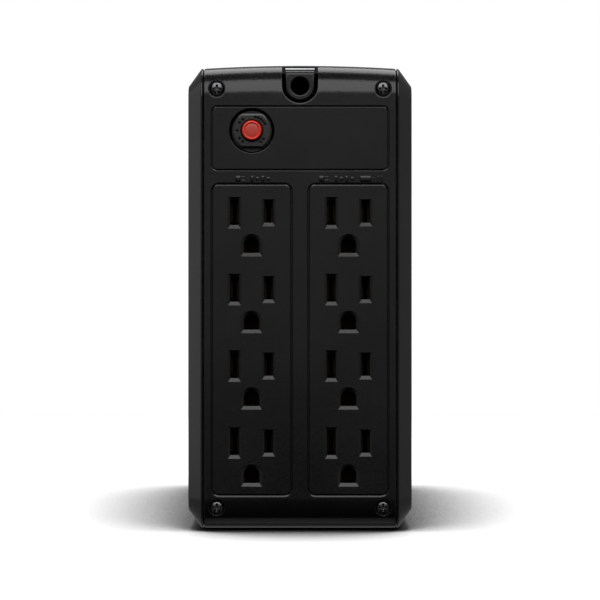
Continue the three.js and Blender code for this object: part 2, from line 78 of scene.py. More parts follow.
REAR = COVER_LOW[1]
FRONT = COVER_HIGH[1]
UNDERSIDE = COVER_LOW[2]
HEIGHT = TOP_HIGH[2]
CROWN = HEIGHT - COVER_HIGH[2]
SPINE_HALF = PANEL_HIGH[0]
SIDE_IN = COVER_LOW[0]
HALF_WIDTH = COVER_HIGH[0]
REAR_RIM = PANEL_HIGH[1]
BREAKER_X = (BREAKER_LOW[0] + BREAKER_HIGH[0]) / 2
BREAKER_Z = (BREAKER_LOW[2] + BREAKER_HIGH[2]) / 2
POWER_Z = (POWER_LOW[2] + POWER_HIGH[2]) / 2
TOGGLE_Z = (TOGGLE_LOW[2] + TOGGLE_HIGH[2]) / 2

# Sizes of the moulded details
WALL = 2.5
GAP = 0.3
CORNER = 11.7
LIP = 0.3
BANK_X = 18.0
OUTLET_Z = [118.7, 90.2, 61.8, 33.2]
BLADE_X = 6.35
BLADE_HALF = 2.35
NEUTRAL_HALF = 5.75
LINE_HALF = 4.9
GROUND_R = 3.92
GROUND_TAIL = 4.18
GROUND_DROP = 11.9
FRAME_X = 33.2
LABEL_Z = (134.2, 158.6)
BANK_Z = (13.1, 129.9)
BANK_INNER_X = 2.7
MARK_Z = 131.3
MARK_HALF = 1.15
SCREW_X = 30.95
SCREW_Z = [164.9, 9.1]
SCREW_HOLE_R = 3.2
WELL_R = 8.35
COLLAR_R = 7.45
COLLAR_HALF = 6.4
COLLAR_BORE = 4.25
PIP_R = 0.52
PIP_ANGLES = (28, 40, 52, 64, 76, -38, -54, 128, 146, 180, 214, 232)
NOTCH_R = 6.7
NOTCH_Z = 166.2
GLAND_R = 5.3
GLAND_Z = 165.8
GLAND_TOP = 171.6
CORD_R = 3.4
SIDE_BEVEL = 6.8
VENT_Z = (38, 120)
POWER_R = 6.5
TOGGLE_R = 4.0
ARC = 20


# ---------- mesh tools ----------

def new_object(name, verts, faces, scale=MM):
    mesh = bpy.data.meshes.new(name)
    mesh.from_pydata([Vector(v) * scale for v in verts], [], faces)
    mesh.validate()
    obj = bpy.data.objects.new(name, mesh)
    bpy.context.scene.collection.objects.link(obj)
    return obj


def outward(obj):
    work = bmesh.new()
    work.from_mesh(obj.data)
    bmesh.ops.recalc_face_normals(work, faces=work.faces)
    work.to_mesh(obj.data)
    work.free()
    return obj


def loft(rings, close=False):
    """Quads between rings of equal length; the first and last ring are capped, or joined to each other."""
    count = len(rings[0])
    verts = [p for ring in rings for p in ring]
    faces = []
    spans = len(rings) if close else len(rings) - 1
    for r in range(spans):
        a = r * count
        b = (r + 1) % len(rings) * count
        for i in range(count):
            j = (i + 1) % count
            faces.append((a + i, a + j, b + j, b + i))
    if not close:
        faces.append(tuple(range(count))[::-1])
        last = (len(rings) - 1) * count
        faces.append(tuple(range(last, last + count)))
    return verts, faces


def arc(ca, cb, r, start, end, steps):
    out = []
    for i in range(steps + 1):
        t = math.radians(start + (end - start) * i / steps)
        out.append((ca + r * math.cos(t), cb + r * math.sin(t)))
    return out


def round_rect(a0, a1, b0, b1, r, steps=6):
    r = max(r, 0.02)
    return (
        arc(a1 - r, b0 + r, r, -90, 0, steps)
        + arc(a1 - r, b1 - r, r, 0, 90, steps)
        + arc(a0 + r, b1 - r, r, 90, 180, steps)
        + arc(a0 + r, b0 + r, r, 180, 270, steps)
    )


def slot_outline(x, z, half_x, half_z, r):
    return round_rect(x - half_x, x + half_x, z - half_z, z + half_z, r, 4)


def circle(x, z, r, steps=48):
    return arc(x, z, r, 0, 360 * (steps - 1) / steps, steps - 1)


def dome(x, z, r, tail, corner=0.5):
    """A half circle over a square foot with small rounded corners."""
    corner = max(min(corner, r - 0.05), 0.02)
    low = z - tail
    return (
        arc(x - r + corner, low + corner, corner, 180, 270, 3)
        + arc(x + r - corner, low + corner, corner, 270, 360, 3)
        + arc(x, z, r, 0, 180, 20)
    )


def double_d(x, z, r, half):
    """A circle with flats above and below, at half from its centre."""
    angle = math.degrees(math.asin(min(half / r, 1)))
    return arc(x, z, r, -angle, angle, 16) + arc(x, z, r, 180 - angle, 180 + angle, 16)


def u_outline(half, centre, top):
    """A U: a half circle below centre, and straight sides up to top."""
    return arc(0, centre, half, 180, 360, 24) + [(half, top), (-half, top)]


def at_y(outline, y):
    return [(a, y, b) for a, b in outline]


def at_x(outline, x):
    return [(x, a, b) for a, b in outline]


def lip_levels(r, steps=3):
    """(depth, growth) pairs of a softened mouth: growth is r at the surface and none at a depth of r / 2."""
    out = []
    for i in range(steps + 1):
        t = math.pi / 2 * i / steps
        out.append((r * (1 - math.cos(t)) / 2, r * (1 - math.sin(t))))
    return out


def cutter(name, outline, depth, lip=LIP, y0=None, floor=0.25):
    """A hole into the outlet panel with a rounded mouth. outline(grow) gives the hole's outline."""
    y0 = REAR if y0 is None else y0
    levels = [(-2.0, lip)] + lip_levels(lip)
    if floor:
        levels += [(depth - floor, 0), (depth - floor * 0.3, -floor * 0.3), (depth, -floor)]
    else:
        levels += [(depth, 0)]
    return stacked(name, outline, [(y0 + d, grow) for d, grow in levels])


def stacked(name, outline, levels):
    """A body along Y from an outline(grow) at each (y, grow) level."""
    return outward(new_object(name, *loft([at_y(outline(grow), y) for y, grow in levels])))


def turned(name, x, z, profile, steps=48):
    """A body turned on an axis along Y, from its (radius, y) profile."""
    rings = [at_y(circle(x, z, r, steps), y) for r, y in profile]
    return outward(new_object(name, *loft(rings)))


def block(name, x0, x1, y0, y1, z0, z1):
    rings = [at_y([(x0, z0), (x1, z0), (x1, z1), (x0, z1)], y) for y in (y0, y1)]
    return outward(new_object(name, *loft(rings)))


def upright(name, outline, z0, z1):
    """A body along Z from an outline in X and Y."""
    return outward(new_object(name, *loft([[(a, b, z) for a, b in outline] for z in (z0, z1)])))


def round_depth(r, depth):
    """How far an edge rounded to r stands back at a depth below the face."""
    left = r - min(depth, r)
    return r - math.sqrt(r * r - left * left)


def to_front(obj):
    """Mirrors a piece built on the outlet side to the display side."""
    for vertex in obj.data.vertices:
        vertex.co.y = (REAR + FRONT) * MM - vertex.co.y
    return outward(obj)


def join(objects, name):
    verts, faces = [], []
    for obj in objects:
        start = len(verts)
        verts += [v.co[:] for v in obj.data.vertices]
        faces += [tuple(start + i for i in p.vertices) for p in obj.data.polygons]
        bpy.data.objects.remove(obj)
    return new_object(name, verts, faces, 1.0)


def cut(obj, tool):
    """Cuts the tool out of the piece and deletes it."""
    modifier = obj.modifiers.new("cut", "BOOLEAN")
    modifier.operation = "DIFFERENCE"
    modifier.solver = "EXACT"
    modifier.use_self = True
    modifier.object = tool
    graph = bpy.context.evaluated_depsgraph_get()
    result = bpy.data.meshes.new_from_object(obj.evaluated_get(graph))
    obj.modifiers.clear()
    obj.data = result
    bpy.data.objects.remove(tool)
    return obj


def merge_flat(obj, angle=0.02, near=1e-7):
    """Merges doubled points, and faces that lie in one plane."""
    work = bmesh.new()
    work.from_mesh(obj.data)
    bmesh.ops.remove_doubles(work, verts=work.verts, dist=near)
    bmesh.ops.dissolve_limit(work, angle_limit=math.radians(angle), verts=work.verts, edges=work.edges)
    bmesh.ops.recalc_face_normals(work, faces=work.faces)
    work.to_mesh(obj.data)
    work.free()
    return obj


def crease_flats(mesh, turn=8, square=0.99999):
    """Keeps flat faces that lie square to the axes flat: their edges to lips and grooves don't blend."""
    work = bmesh.new()
    work.from_mesh(mesh)
    for edge in work.edges:
        if len(edge.link_faces) == 2 and edge.calc_face_angle() > math.radians(turn):
            if any(max(abs(part) for part in face.normal) > square for face in edge.link_faces):
                edge.smooth = False
    work.to_mesh(mesh)
    work.free()


def smooth(obj, angle=32):
    for polygon in obj.data.polygons:
        polygon.use_smooth = True
    obj.data.set_sharp_from_angle(angle=math.radians(angle))
    crease_flats(obj.data)
    weight = obj.modifiers.new("normals", "WEIGHTED_NORMAL")
    weight.keep_sharp = True
    weight.weight = 90
    return obj


def finish_piece(obj, material, slot, body, *nodes):
    obj.data.materials.clear()
    obj.data.materials.append(material)
    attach(obj, body)
    if nodes:
        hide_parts(*nodes)
    return obj


# ---------- materials ----------

def node_material(name):
    material = bpy.data.materials.new(name)
    material.use_nodes = True
    tree = material.node_tree
    return material, tree, tree.nodes["Principled BSDF"]


def add_node(tree, kind, **values):
    node = tree.nodes.new(kind)
    for key, value in values.items():
        if key in node.inputs:
            node.inputs[key].default_value = value
        else:
            setattr(node, key, value)
    return node


def noise_texture(tree, scale, detail=3.0, roughness=0.5, stretch=None):
    place = add_node(tree, "ShaderNodeTexCoord")
    noise = add_node(tree, "ShaderNodeTexNoise", Scale=scale, Detail=detail, Roughness=roughness)
    if stretch:
        mapping = add_node(tree, "ShaderNodeMapping", Scale=stretch)
        tree.links.new(place.outputs["Object"], mapping.inputs["Vector"])
        tree.links.new(mapping.outputs["Vector"], noise.inputs["Vector"])
    else:
        tree.links.new(place.outputs["Object"], noise.inputs["Vector"])
    return noise


def ramp(tree, source, low, high, start=0.35, end=0.65):
    node = add_node(tree, "ShaderNodeValToRGB")
    node.color_ramp.elements[0].position = start
    node.color_ramp.elements[1].position = end
    node.color_ramp.elements[0].color = (*low, 1)
    node.color_ramp.elements[1].color = (*high, 1)
    tree.links.new(source, node.inputs["Fac"])
    return node


def spread(tree, source, low, high):
    node = add_node(tree, "ShaderNodeMapRange")
    node.inputs["From Min"].default_value = 0.3
    node.inputs["From Max"].default_value = 0.7
    node.inputs["To Min"].default_value = low
    node.inputs["To Max"].default_value = high
    tree.links.new(source, node.inputs["Value"])
    return node


def bump(tree, height, strength, distance, edge=None):
    node = add_node(tree, "ShaderNodeBump", Strength=strength, Distance=distance)
    tree.links.new(height, node.inputs["Height"])
    if edge:
        bevel = add_node(tree, "ShaderNodeBevel", samples=4, Radius=edge)
        tree.links.new(bevel.outputs["Normal"], node.inputs["Normal"])
    return node


def plastic(
    name, colour, rough, grain=1500.0, depth=0.00003, strength=0.7, spec=0.5, edge=0.0002, vary=0.25
):
    """Moulded plastic: a fine spark-eroded grain, and slow drifts in tone and gloss."""
    material, tree, shader = node_material(name)
    fine = noise_texture(tree, grain, 2.0, 0.6)
    slow = noise_texture(tree, 45.0, 4.0, 0.6)
    low = tuple(c * (1 - vary) for c in colour)
    high = tuple(min(c * (1 + vary), 1) for c in colour)
    tone = ramp(tree, slow.outputs["Fac"], low, high)
    gloss = spread(tree, fine.outputs["Fac"], rough - 0.06, rough + 0.06)
    relief = bump(tree, fine.outputs["Fac"], strength, depth, edge)
    tree.links.new(tone.outputs["Color"], shader.inputs["Base Color"])
    tree.links.new(gloss.outputs["Result"], shader.inputs["Roughness"])
    tree.links.new(relief.outputs["Normal"], shader.inputs["Normal"])
    shader.inputs["Specular IOR Level"].default_value = spec
    return material


def metal(name, colour, rough, stretch=(1, 1, 12), scale=600.0, edge=0.0002, vary=0.12):
    """Drawn or stamped metal: fine lines along one way, with small changes of tone."""
    material, tree, shader = node_material(name)
    lines = noise_texture(tree, scale, 3.0, 0.6, stretch)
    slow = noise_texture(tree, 60.0, 3.0)
    low = tuple(c * (1 - vary) for c in colour)
    high = tuple(min(c * (1 + vary), 1) for c in colour)
    tone = ramp(tree, slow.outputs["Fac"], low, high)
    gloss = spread(tree, lines.outputs["Fac"], rough - 0.08, rough + 0.1)
    relief = bump(tree, lines.outputs["Fac"], 0.3, 0.00002, edge)
    tree.links.new(tone.outputs["Color"], shader.inputs["Base Color"])
    tree.links.new(gloss.outputs["Result"], shader.inputs["Roughness"])
    tree.links.new(relief.outputs["Normal"], shader.inputs["Normal"])
    shader.inputs["Metallic"].default_value = 1.0
    return material


def layered(name, low, high, scale, direction, rough=0.5, metallic=0.0, depth=0.00015):
    """Laminations or turns of wire: fine bands along one axis."""
    material, tree, shader = node_material(name)
    place = add_node(tree, "ShaderNodeTexCoord")
    wave = add_node(tree, "ShaderNodeTexWave", Scale=scale, Distortion=0.6)
    wave.bands_direction = direction
    tree.links.new(place.outputs["Object"], wave.inputs["Vector"])
    tone = ramp(tree, wave.outputs["Fac"], low, high, 0.1, 0.9)
    gloss = spread(tree, wave.outputs["Fac"], rough - 0.05, rough + 0.1)
    relief = bump(tree, wave.outputs["Fac"], 0.6, depth)
    tree.links.new(tone.outputs["Color"], shader.inputs["Base Color"])
    tree.links.new(gloss.outputs["Result"], shader.inputs["Roughness"])
    tree.links.new(relief.outputs["Normal"], shader.inputs["Normal"])
    shader.inputs["Metallic"].default_value = metallic
    return material


SHELL = plastic("shell_black", (0.0058, 0.0058, 0.0063), 0.2)
GLAND = plastic("gland_black", (0.0075, 0.0075, 0.008), 0.3)
COLLAR = plastic("breaker_black", (0.006, 0.006, 0.0065), 0.22, grain=1800, spec=0.9)
RED = plastic("reset_red", (0.49, 0.048, 0.03), 0.36, grain=1200, depth=0.00001, vary=0.06)
# Painted highlight: a brighter copy of the reset red, put on the button's rim faces in place of the light
# they catch.
RED_RIM_PAINTED_HIGHLIGHT = plastic("reset_red_rim_painted_highlight", (0.80, 0.035, 0.016), 0.3, grain=1200, depth=0.00001, vary=0.06)
SCREW = metal("black_oxide_steel", (0.14, 0.14, 0.146), 0.22, (1, 1, 1), 900)
RUBBER = plastic("foot_rubber", (0.012, 0.012, 0.012), 0.75, grain=900, depth=0.00006, spec=0.3)
# Painted shade: a near-black, nearly glossless washer colour that keeps the gap round the breaker collar
# dark.
GASKET_PAINTED_SHADE = plastic("gasket_foam_painted_shade", (0.002, 0.002, 0.002), 0.9, grain=600, depth=0.0001, spec=0.02)
# Painted shade: the contacts' bronze is darkened near to black, standing in for the shade deep inside the
# outlet slots.
BRASS_PAINTED_SHADE = metal("phosphor_bronze_painted_shade", (0.03, 0.022, 0.013), 0.5)
STEEL = metal("bracket_steel", (0.42, 0.43, 0.45), 0.32)
ALUMINIUM = metal("extruded_aluminium", (0.62, 0.63, 0.65), 0.35, (12, 1, 12))
CARRIER = plastic("carrier_black", (0.012, 0.012, 0.0125), 0.5)
BATTERY = plastic("battery_grey", (0.05, 0.053, 0.06), 0.5, grain=700, depth=0.00006)
COMPONENT = plastic("component_black", (0.012, 0.012, 0.012), 0.45)
RELAY = plastic("relay_blue", (0.02, 0.05, 0.16), 0.35)
SLEEVE = plastic("capacitor_sleeve", (0.012, 0.02, 0.06), 0.22, grain=400, depth=0.00001)
CERAMIC = plastic("fuse_ceramic", (0.62, 0.6, 0.54), 0.4, grain=800)
BOARD = plastic("solder_mask", (0.012, 0.10, 0.035), 0.35, grain=260, depth=0.00004, vary=0.4)
WIRE_BLACK = plastic("wire_black", (0.012, 0.012, 0.012), 0.4)
WIRE_WHITE = plastic("wire_white", (0.6, 0.6, 0.57), 0.4, vary=0.05)
WIRE_GREEN = plastic("wire_green", (0.02, 0.16, 0.05), 0.4, vary=0.1)
WIRE_RED = plastic("wire_red", (0.36, 0.015, 0.012), 0.4, vary=0.1)
CORE = layered("laminations", (0.08, 0.08, 0.085), (0.3, 0.3, 0.32), 280, "X", 0.4, 0.9)
WINDING = layered("copper_turns", (0.28, 0.10, 0.025), (0.62, 0.27, 0.07), 190, "X", 0.3, 0.6)
SMOKED = plastic("smoked_window", (0.010, 0.011, 0.013), 0.08, grain=60, depth=0.000002, edge=0.0003)
GLYPH = plastic("display_glyph", (0.16, 0.30, 0.38), 0.35, vary=0.05)
ICON = plastic("button_icon", (0.42, 0.43, 0.45), 0.45, vary=0.05)


# ---------- shells ----------

def spine_outer(inset):
    """The outer line of the body in Y and Z, from under the rear, up and over to under the front."""
    return (
        arc(REAR + CORNER, UNDERSIDE + CORNER, CORNER - inset, 270, 180, ARC),
        arc(REAR + CORNER, HEIGHT - CORNER, CORNER - inset, 180, 90, ARC),
        arc(FRONT - CORNER, HEIGHT - CORNER, CORNER - inset, 90, 0, ARC),
        arc(FRONT - CORNER, UNDERSIDE + CORNER, CORNER - inset, 0, -90, ARC),
    )


def crowned(point):
    """Lowers a point near the top by its distance from the middle, which makes the crown."""
    x, y, z = point
    start = HEIGHT - CORNER - WALL
    share = min(max((z - start) / (HEIGHT - start), 0), 1)
    return (x, y, z - CROWN * (x / SPINE_HALF) ** 2 * share)


def stations(half, r=0.45, columns=24):
    """(x, inset) pairs across the body, with the edges at both sides rounded to r."""
    edge = [(half - r + r * math.sin(t), r * (1 - math.cos(t))) for t in (0.5, 1.0, math.pi / 2)]
    inner = half - r
    middle = [(-inner + 2 * inner * i / columns, 0) for i in range(columns + 1)]
    return [(-x, i) for x, i in reversed(edge)] + middle + edge


def spine_piece(name, profile, half=None, columns=24):
    """A solid across the body from a closed profile(inset) in Y and Z, with the crown put in."""
    half = SPINE_HALF if half is None else half
    rings = [at_x(profile(inset), x) for x, inset in stations(half, columns=columns)]
    verts, faces = loft(rings)
    obj = outward(new_object(name, [crowned(v) for v in verts], faces))
    return merge_flat(obj)


def rear_profile(inset):
    low, high = spine_outer(inset)[:2]
    rim = REAR_RIM - 0.3
    inner = CORNER - WALL
    return (
        [(rim, UNDERSIDE + inset)] + low + high + [(rim, HEIGHT - inset), (REAR_RIM, HEIGHT - 0.3 - inset)]
        + [(REAR_RIM, HEIGHT - WALL)]
        + arc(REAR + CORNER, HEIGHT - CORNER, inner, 90, 180, 8)
        + arc(REAR + CORNER, UNDERSIDE + CORNER, inner, 180, 270, 8)
        + [(REAR_RIM, UNDERSIDE + WALL), (REAR_RIM, UNDERSIDE + 0.3 + inset)]
    )


def ring_cutter(name, x0, x1, z0, z1, side, end, radius, bright=0.36):
    """A groove along a rounded rectangle: a narrow V down its sides, lower walls that slope to the light."""
    dark = end - 0.12
    shelf = 0.46 * bright
    bottom = shelf + 0.8 * (dark - bright)
    levels = [(-1.0, 0, 0), (0, 0, 0), (shelf, 0.06, bright), (bottom, 0.3 * side, dark)]

    def outer(narrow, slope):
        return round_rect(x0 + narrow, x1 - narrow, z0 + slope, z1, radius, 8)

    def inner(narrow, slope):
        return round_rect(x0 + side - narrow, x1 - side + narrow, z0 + end, z1 - end + slope, radius - end, 8)

    rings = [at_y(outer(narrow, slope), REAR + d) for d, narrow, slope in levels]
    rings += [at_y(inner(narrow, slope), REAR + d) for d, narrow, slope in reversed(levels)]
    return outward(new_object(name, *loft(rings, close=True)))


def mouth(name, outline, inset, low, high):
    """An outlet hole: a soft edge, a bevelled mouth, then a straight hole. outline(side, low, high)."""
    levels = [
        (-2.0, 0.1, 0.1, 0.1), (0.0, 0.1, 0.1, 0.1), (0.04, 0.02, 0.02, 0.02), (0.1, -0.05, -0.05, -0.03),
        (0.8, -inset, -low, -high), (WALL + 2, -inset - 0.02, -low - 0.02, -high - 0.02),
    ]
    rings = [at_y(outline(a, b, c), REAR + d) for d, a, b, c in levels]
    return outward(new_object(name, *loft(rings)))


def outlet_cutters(x, z):
    """The holes of one outlet: two blade slots, and the domed hole of the ground pin below them."""
    def blade(centre, half_z):
        def outline(side, low, high):
            half_x = BLADE_HALF + side
            return round_rect(centre - half_x, centre + half_x, z - half_z - low, z + half_z + high, 0.3, 4)
        return outline

    def ground(side, low, _):
        return dome(x, z - GROUND_DROP, GROUND_R + side, GROUND_TAIL + low)

    return [
        mouth("neutral", blade(x - BLADE_X, NEUTRAL_HALF), 0.85, 1.25, 0.45),
        mouth("line", blade(x + BLADE_X, LINE_HALF), 0.85, 1.25, 0.45),
        mouth("ground", ground, 0.95, 1.2, 0.95),
    ]


def rear_panel():
    """The outlet panel: the button's well, grooves, outlets, screw holes and the gland's notch."""
    obj = spine_piece("rear_panel_shell", rear_profile)
    tools = [
        cutter("well", lambda g: circle(BREAKER_X, BREAKER_Z, WELL_R + g, 64), 7, 0.25, floor=0),
        ring_cutter("label_groove", -FRAME_X, FRAME_X, *LABEL_Z, 0.8, 0.8, 2.4, 0.15),
        ring_cutter("left_groove", -FRAME_X, -BANK_INNER_X, *BANK_Z, 0.9, 1.15, 3.2),
        ring_cutter("right_groove", BANK_INNER_X, FRAME_X, *BANK_Z, 0.9, 1.15, 3.2),
    ]
    for x in (-BANK_X, BANK_X):
        for z in OUTLET_Z:
            tools += outlet_cutters(x, z)
    for x in (-SCREW_X, SCREW_X):
        for z in SCREW_Z:
            tools.append(
                cutter("screw", lambda g, x=x, z=z: circle(x, z, SCREW_HOLE_R + g, 40), 2.4, 0.4, floor=0.1)
            )
    tools.append(cutter("notch", lambda g: u_outline(NOTCH_R + g, NOTCH_Z, HEIGHT + 2), 8, 0.5, floor=0))
    cut(obj, join(tools, "tools"))
    smooth(obj)
    return finish_piece(obj, SHELL, "shell", "case", "rear_panel")


def top_cover():
    """The crowned top, between the outlet panel and the display side."""
    y0, y1 = TOP_LOW[1], TOP_HIGH[1]

    def profile(inset):
        top = HEIGHT - inset
        return [
            (y0, HEIGHT - WALL), (y0, top - 0.3), (y0 + 0.1, top - 0.1), (y0 + 0.3, top),
            (y1 - 0.3, top), (y1 - 0.1, top - 0.1), (y1, top - 0.3), (y1, HEIGHT - WALL),
        ]

    obj = spine_piece("top_cover_shell", profile)
    smooth(obj)
    return finish_piece(obj, SHELL, "shell", "case", "top_cover")


def side_outline(inset):
    r = CORNER - min(inset, CORNER - 1.5)
    return round_rect(REAR + inset, FRONT - inset, UNDERSIDE + inset, HEIGHT - CROWN - inset, r, ARC)


def side_cover(side):
    """The bulging cover: a bevelled pan, with its inner edge and its shoulder rounded."""
    slope = math.hypot(SIDE_BEVEL, HALF_WIDTH - SIDE_IN)
    shoulder = 0.35
    start = (SIDE_IN + 0.9, 0.25)
    corner = (HALF_WIDTH, SIDE_BEVEL)
    before = (HALF_WIDTH - shoulder * (HALF_WIDTH - start[0]) / slope, SIDE_BEVEL * (1 - shoulder / slope))
    after = (HALF_WIDTH, SIDE_BEVEL + shoulder)
    outer = [(SIDE_IN, 0.5), (SIDE_IN + 0.06, 0.22), (SIDE_IN + 0.22, 0.06), (SIDE_IN + 0.5, 0.0), start]
    for i in range(9):
        t = i / 8
        outer.append(tuple(
            (1 - t) ** 2 * a + 2 * t * (1 - t) * b + t ** 2 * c for a, b, c in zip(before, corner, after)
        ))
    inner = [(HALF_WIDTH - 2.2, SIDE_BEVEL + 2.5), (SIDE_IN + 1.0, 3.2), (SIDE_IN, 2.4)]
    rings = [at_x(side_outline(inset), side * x) for x, inset in outer + inner]
    count = len(rings[0])
    verts, faces = loft(rings)
    outer_cap = len(outer) - 1
    faces = faces[:outer_cap * count] + faces[(outer_cap + 1) * count:-2]
    faces.append(tuple(range(outer_cap * count, (outer_cap + 1) * count)))
    faces.append(tuple(range((outer_cap + 1) * count, (outer_cap + 2) * count)))
    last = (len(rings) - 1) * count
    faces += [(i, (i + 1) % count, last + (i + 1) % count, last + i) for i in range(count)]
    name = "right" if side > 0 else "left"
    obj = outward(new_object(f"{name}_side_cover_shell", verts, faces))
    depths = [(-4, 0), (-0.3, 0), (-0.08, 0.1), (0, 0.3), (1, 0.3)]
    slots = []
    for i in range(9):
        y = -70 + i * 6
        for z in VENT_Z:
            ends = []
            for d, g in depths:
                outline = round_rect(y - 1.2 - g, y + 1.2 + g, z - 14 - g, z + 14 + g, 1.19 + g, 5)
                ends.append(at_x(outline, side * (HALF_WIDTH + d)))
            slots.append(outward(new_object("vent", *loft(ends))))
    cut(obj, join(slots, "vents"))
    smooth(obj)
    return finish_piece(obj, SHELL, "shell", "case", f"{name}_side_cover")


def front_bezel():
    """Built on the outlet side with the same section, then mirrored to the display side."""
    obj = spine_piece("front_bezel_shell", rear_profile)
    x0, x1 = WINDOW_LOW[0] - GAP, WINDOW_HIGH[0] + GAP
    z0, z1 = WINDOW_LOW[2] - GAP, WINDOW_HIGH[2] + GAP
    tools = [
        cutter("window", lambda g: round_rect(x0 - g, x1 + g, z0 - g, z1 + g, 3 + g, 8), 7, 0.5, floor=0),
        cutter("power", lambda g: circle(0, POWER_Z, POWER_R + GAP + g, 64), 7, 0.45, floor=0),
        cutter("toggle", lambda g: circle(0, TOGGLE_Z, TOGGLE_R + GAP + g, 48), 7, 0.4, floor=0),
        ring_cutter("front_groove", -30, 30, 66, 163, 1.3, 1.2, 6),
        block("door", DOOR_LOW[0] - GAP, DOOR_HIGH[0] + GAP, REAR - 2, REAR_RIM + 2, -1, DOOR_HIGH[2] + GAP),
    ]
    for i in range(7):
        z = 22 + 5.5 * i
        tools.append(cutter("louvre", lambda g, z=z: slot_outline(0, z, 25 + g, 0.9 + g, 0.85 + g), 1.3, 0.3))
    cut(obj, join(tools, "tools"))
    to_front(obj)
    smooth(obj)
    return finish_piece(obj, SHELL, "shell", "case", "front_bezel")


def flat_recess(x, y, r, depth=1.2):
    """A round seat in the underside, for a foot."""
    return upright("seat", circle(x, y, r, 48), -1, UNDERSIDE + depth)


def base_tray():
    """The bottom plate, cut away for the door, with seats for two feet and ribs between grooves."""
    y0, y1 = TRAY_LOW[1], TRAY_HIGH[1]
    low, high = UNDERSIDE, UNDERSIDE + WALL

    def profile(inset):
        return [
            (y0, high), (y0, low + 0.3), (y0 + 0.1, low + 0.1 + inset), (y0 + 0.3, low + inset),
            (y1 - 0.3, low + inset), (y1 - 0.1, low + 0.1 + inset), (y1, low + 0.3), (y1, high),
        ]

    obj = spine_piece("base_tray_shell", profile)
    tools = [block("door", DOOR_LOW[0] - GAP, DOOR_HIGH[0] + GAP, DOOR_LOW[1] - GAP, FRONT, -1, high + 1)]
    for number in (1, 2):
        x, y, r = foot_place(number)
        tools.append(flat_recess(x, y, r + GAP))
    for i in range(8):
        y = -72 + i * 7
        tools.append(upright("rib", round_rect(-22, 22, y - 1.1, y + 1.1, 1.05, 5), -1, UNDERSIDE + 1.0))
    cut(obj, join(tools, "tools"))
    smooth(obj)
    return finish_piece(obj, SHELL, "shell", "case", "base_tray")


def battery_door():
    """The sliding door under the battery, with grip grooves; its front edge follows the body's bend."""
    back = DOOR_LOW[1]
    low, high = UNDERSIDE, DOOR_HIGH[2]
    turn = math.degrees(math.asin((UNDERSIDE + CORNER - high) / CORNER))

    def profile(inset):
        bend = arc(FRONT - CORNER, UNDERSIDE + CORNER, CORNER - inset, -90, -turn, 10)
        edge = [(back, high), (back, low + 0.3), (back + 0.1, low + 0.1 + inset), (back + 0.3, low + inset)]
        return edge + bend

    obj = spine_piece("battery_door_shell", profile, DOOR_HIGH[0])
    tools = []
    for number in (3, 4):
        x, y, r = foot_place(number)
        tools.append(flat_recess(x, y, r + GAP))
    for i in range(6):
        y = 14 + i * 3
        tools.append(upright("grip", round_rect(-12, 12, y - 0.8, y + 0.8, 0.75, 5), -1, UNDERSIDE + 0.9))
    cut(obj, join(tools, "tools"))
    smooth(obj)
    return finish_piece(obj, SHELL, "shell", "battery_door", "battery_door")


def foot_place(number):
    """The middle of a foot in X and Y, and its radius."""
    low, high = mm_box(f"foot_{number}")
    return (low[0] + high[0]) / 2, (low[1] + high[1]) / 2, (high[0] - low[0]) / 2


def foot(number):
    """A rubber pad with a soft edge and a shallow hollow in its tread."""
    x, y, r = foot_place(number)
    top = mm_box(f"foot_{number}")[1][2]
    profile = [
        (0.05, 0.3), (r - 3, 0.3), (r - 2.5, 0.2), (r - 2.1, 0), (r - 0.7, 0), (r - 0.25, 0.12),
        (r - 0.05, 0.4), (r, 0.7), (r, top - 0.15), (r - 0.15, top), (0.05, top),
    ]
    rings = [[(a, b, z) for a, b in circle(x, y, radius, 48)] for radius, z in profile]
    obj = outward(new_object(f"foot_{number}_pad", *loft(rings)))
    smooth(obj)
    return finish_piece(obj, RUBBER, "rubber", "case" if number < 3 else "battery_door", f"foot_{number}")


rear_panel()
top_cover()
side_cover(1)
side_cover(-1)
front_bezel()
base_tray()
battery_door()
for number in (1, 2, 3, 4):
    foot(number)


# ---------- gland, screws, breaker and marks of the outlet side ----------

def cord_gland():
    """The block that fills the notch: a flat face, soft edges, a rounder top edge and the cord's hole."""
    face, back = REAR + 0.6, REAR + 7.6
    side_r, top_r = 0.5, 1.7
    rings = []
    for depth in (0, 0.03, 0.1, 0.22, side_r, 0.8, 1.2, top_r, back - face):
        top = GLAND_TOP - round_depth(top_r, depth)
        rings.append(at_y(u_outline(GLAND_R - round_depth(side_r, depth), GLAND_Z, top), face + depth))
    obj = outward(new_object("cord_gland_block", *loft(rings)))
    cut(obj, cutter("hole", lambda g: circle(0, GLAND_Z, CORD_R + g, 48), 9, 0.45, face, floor=0))
    smooth(obj)
    return finish_piece(obj, GLAND, "gland", "case", "cord_gland")


def gland_retainer():
    """The bright clip across the notch, behind the top of the block: it slopes to the light."""
    y, low, high = REAR + 7.75, HEIGHT - 1.75, HEIGHT - 0.7
    outline = [(y, low), (y + 0.05, low + 0.08), (y + 0.42, high - 0.1), (y + 0.55, high)]
    outline += [(y + 1, high), (y + 1, low)]
    obj = outward(new_object("gland_retainer", *loft([at_x(outline, x) for x in (-5.5, -5.4, 5.4, 5.5)])))
    return finish_piece(obj, STEEL, "steel", "case")


def cross_outline(x, z, reach, half):
    corners = []
    for a, b in ((1, 0), (0, 1), (-1, 0), (0, -1)):
        corners += [
            (x + a * reach + b * half, z + b * reach - a * half),
            (x + a * reach - b * half, z + b * reach + a * half),
            (x + (a - b) * half, z + (b + a) * half),
        ]
    return corners


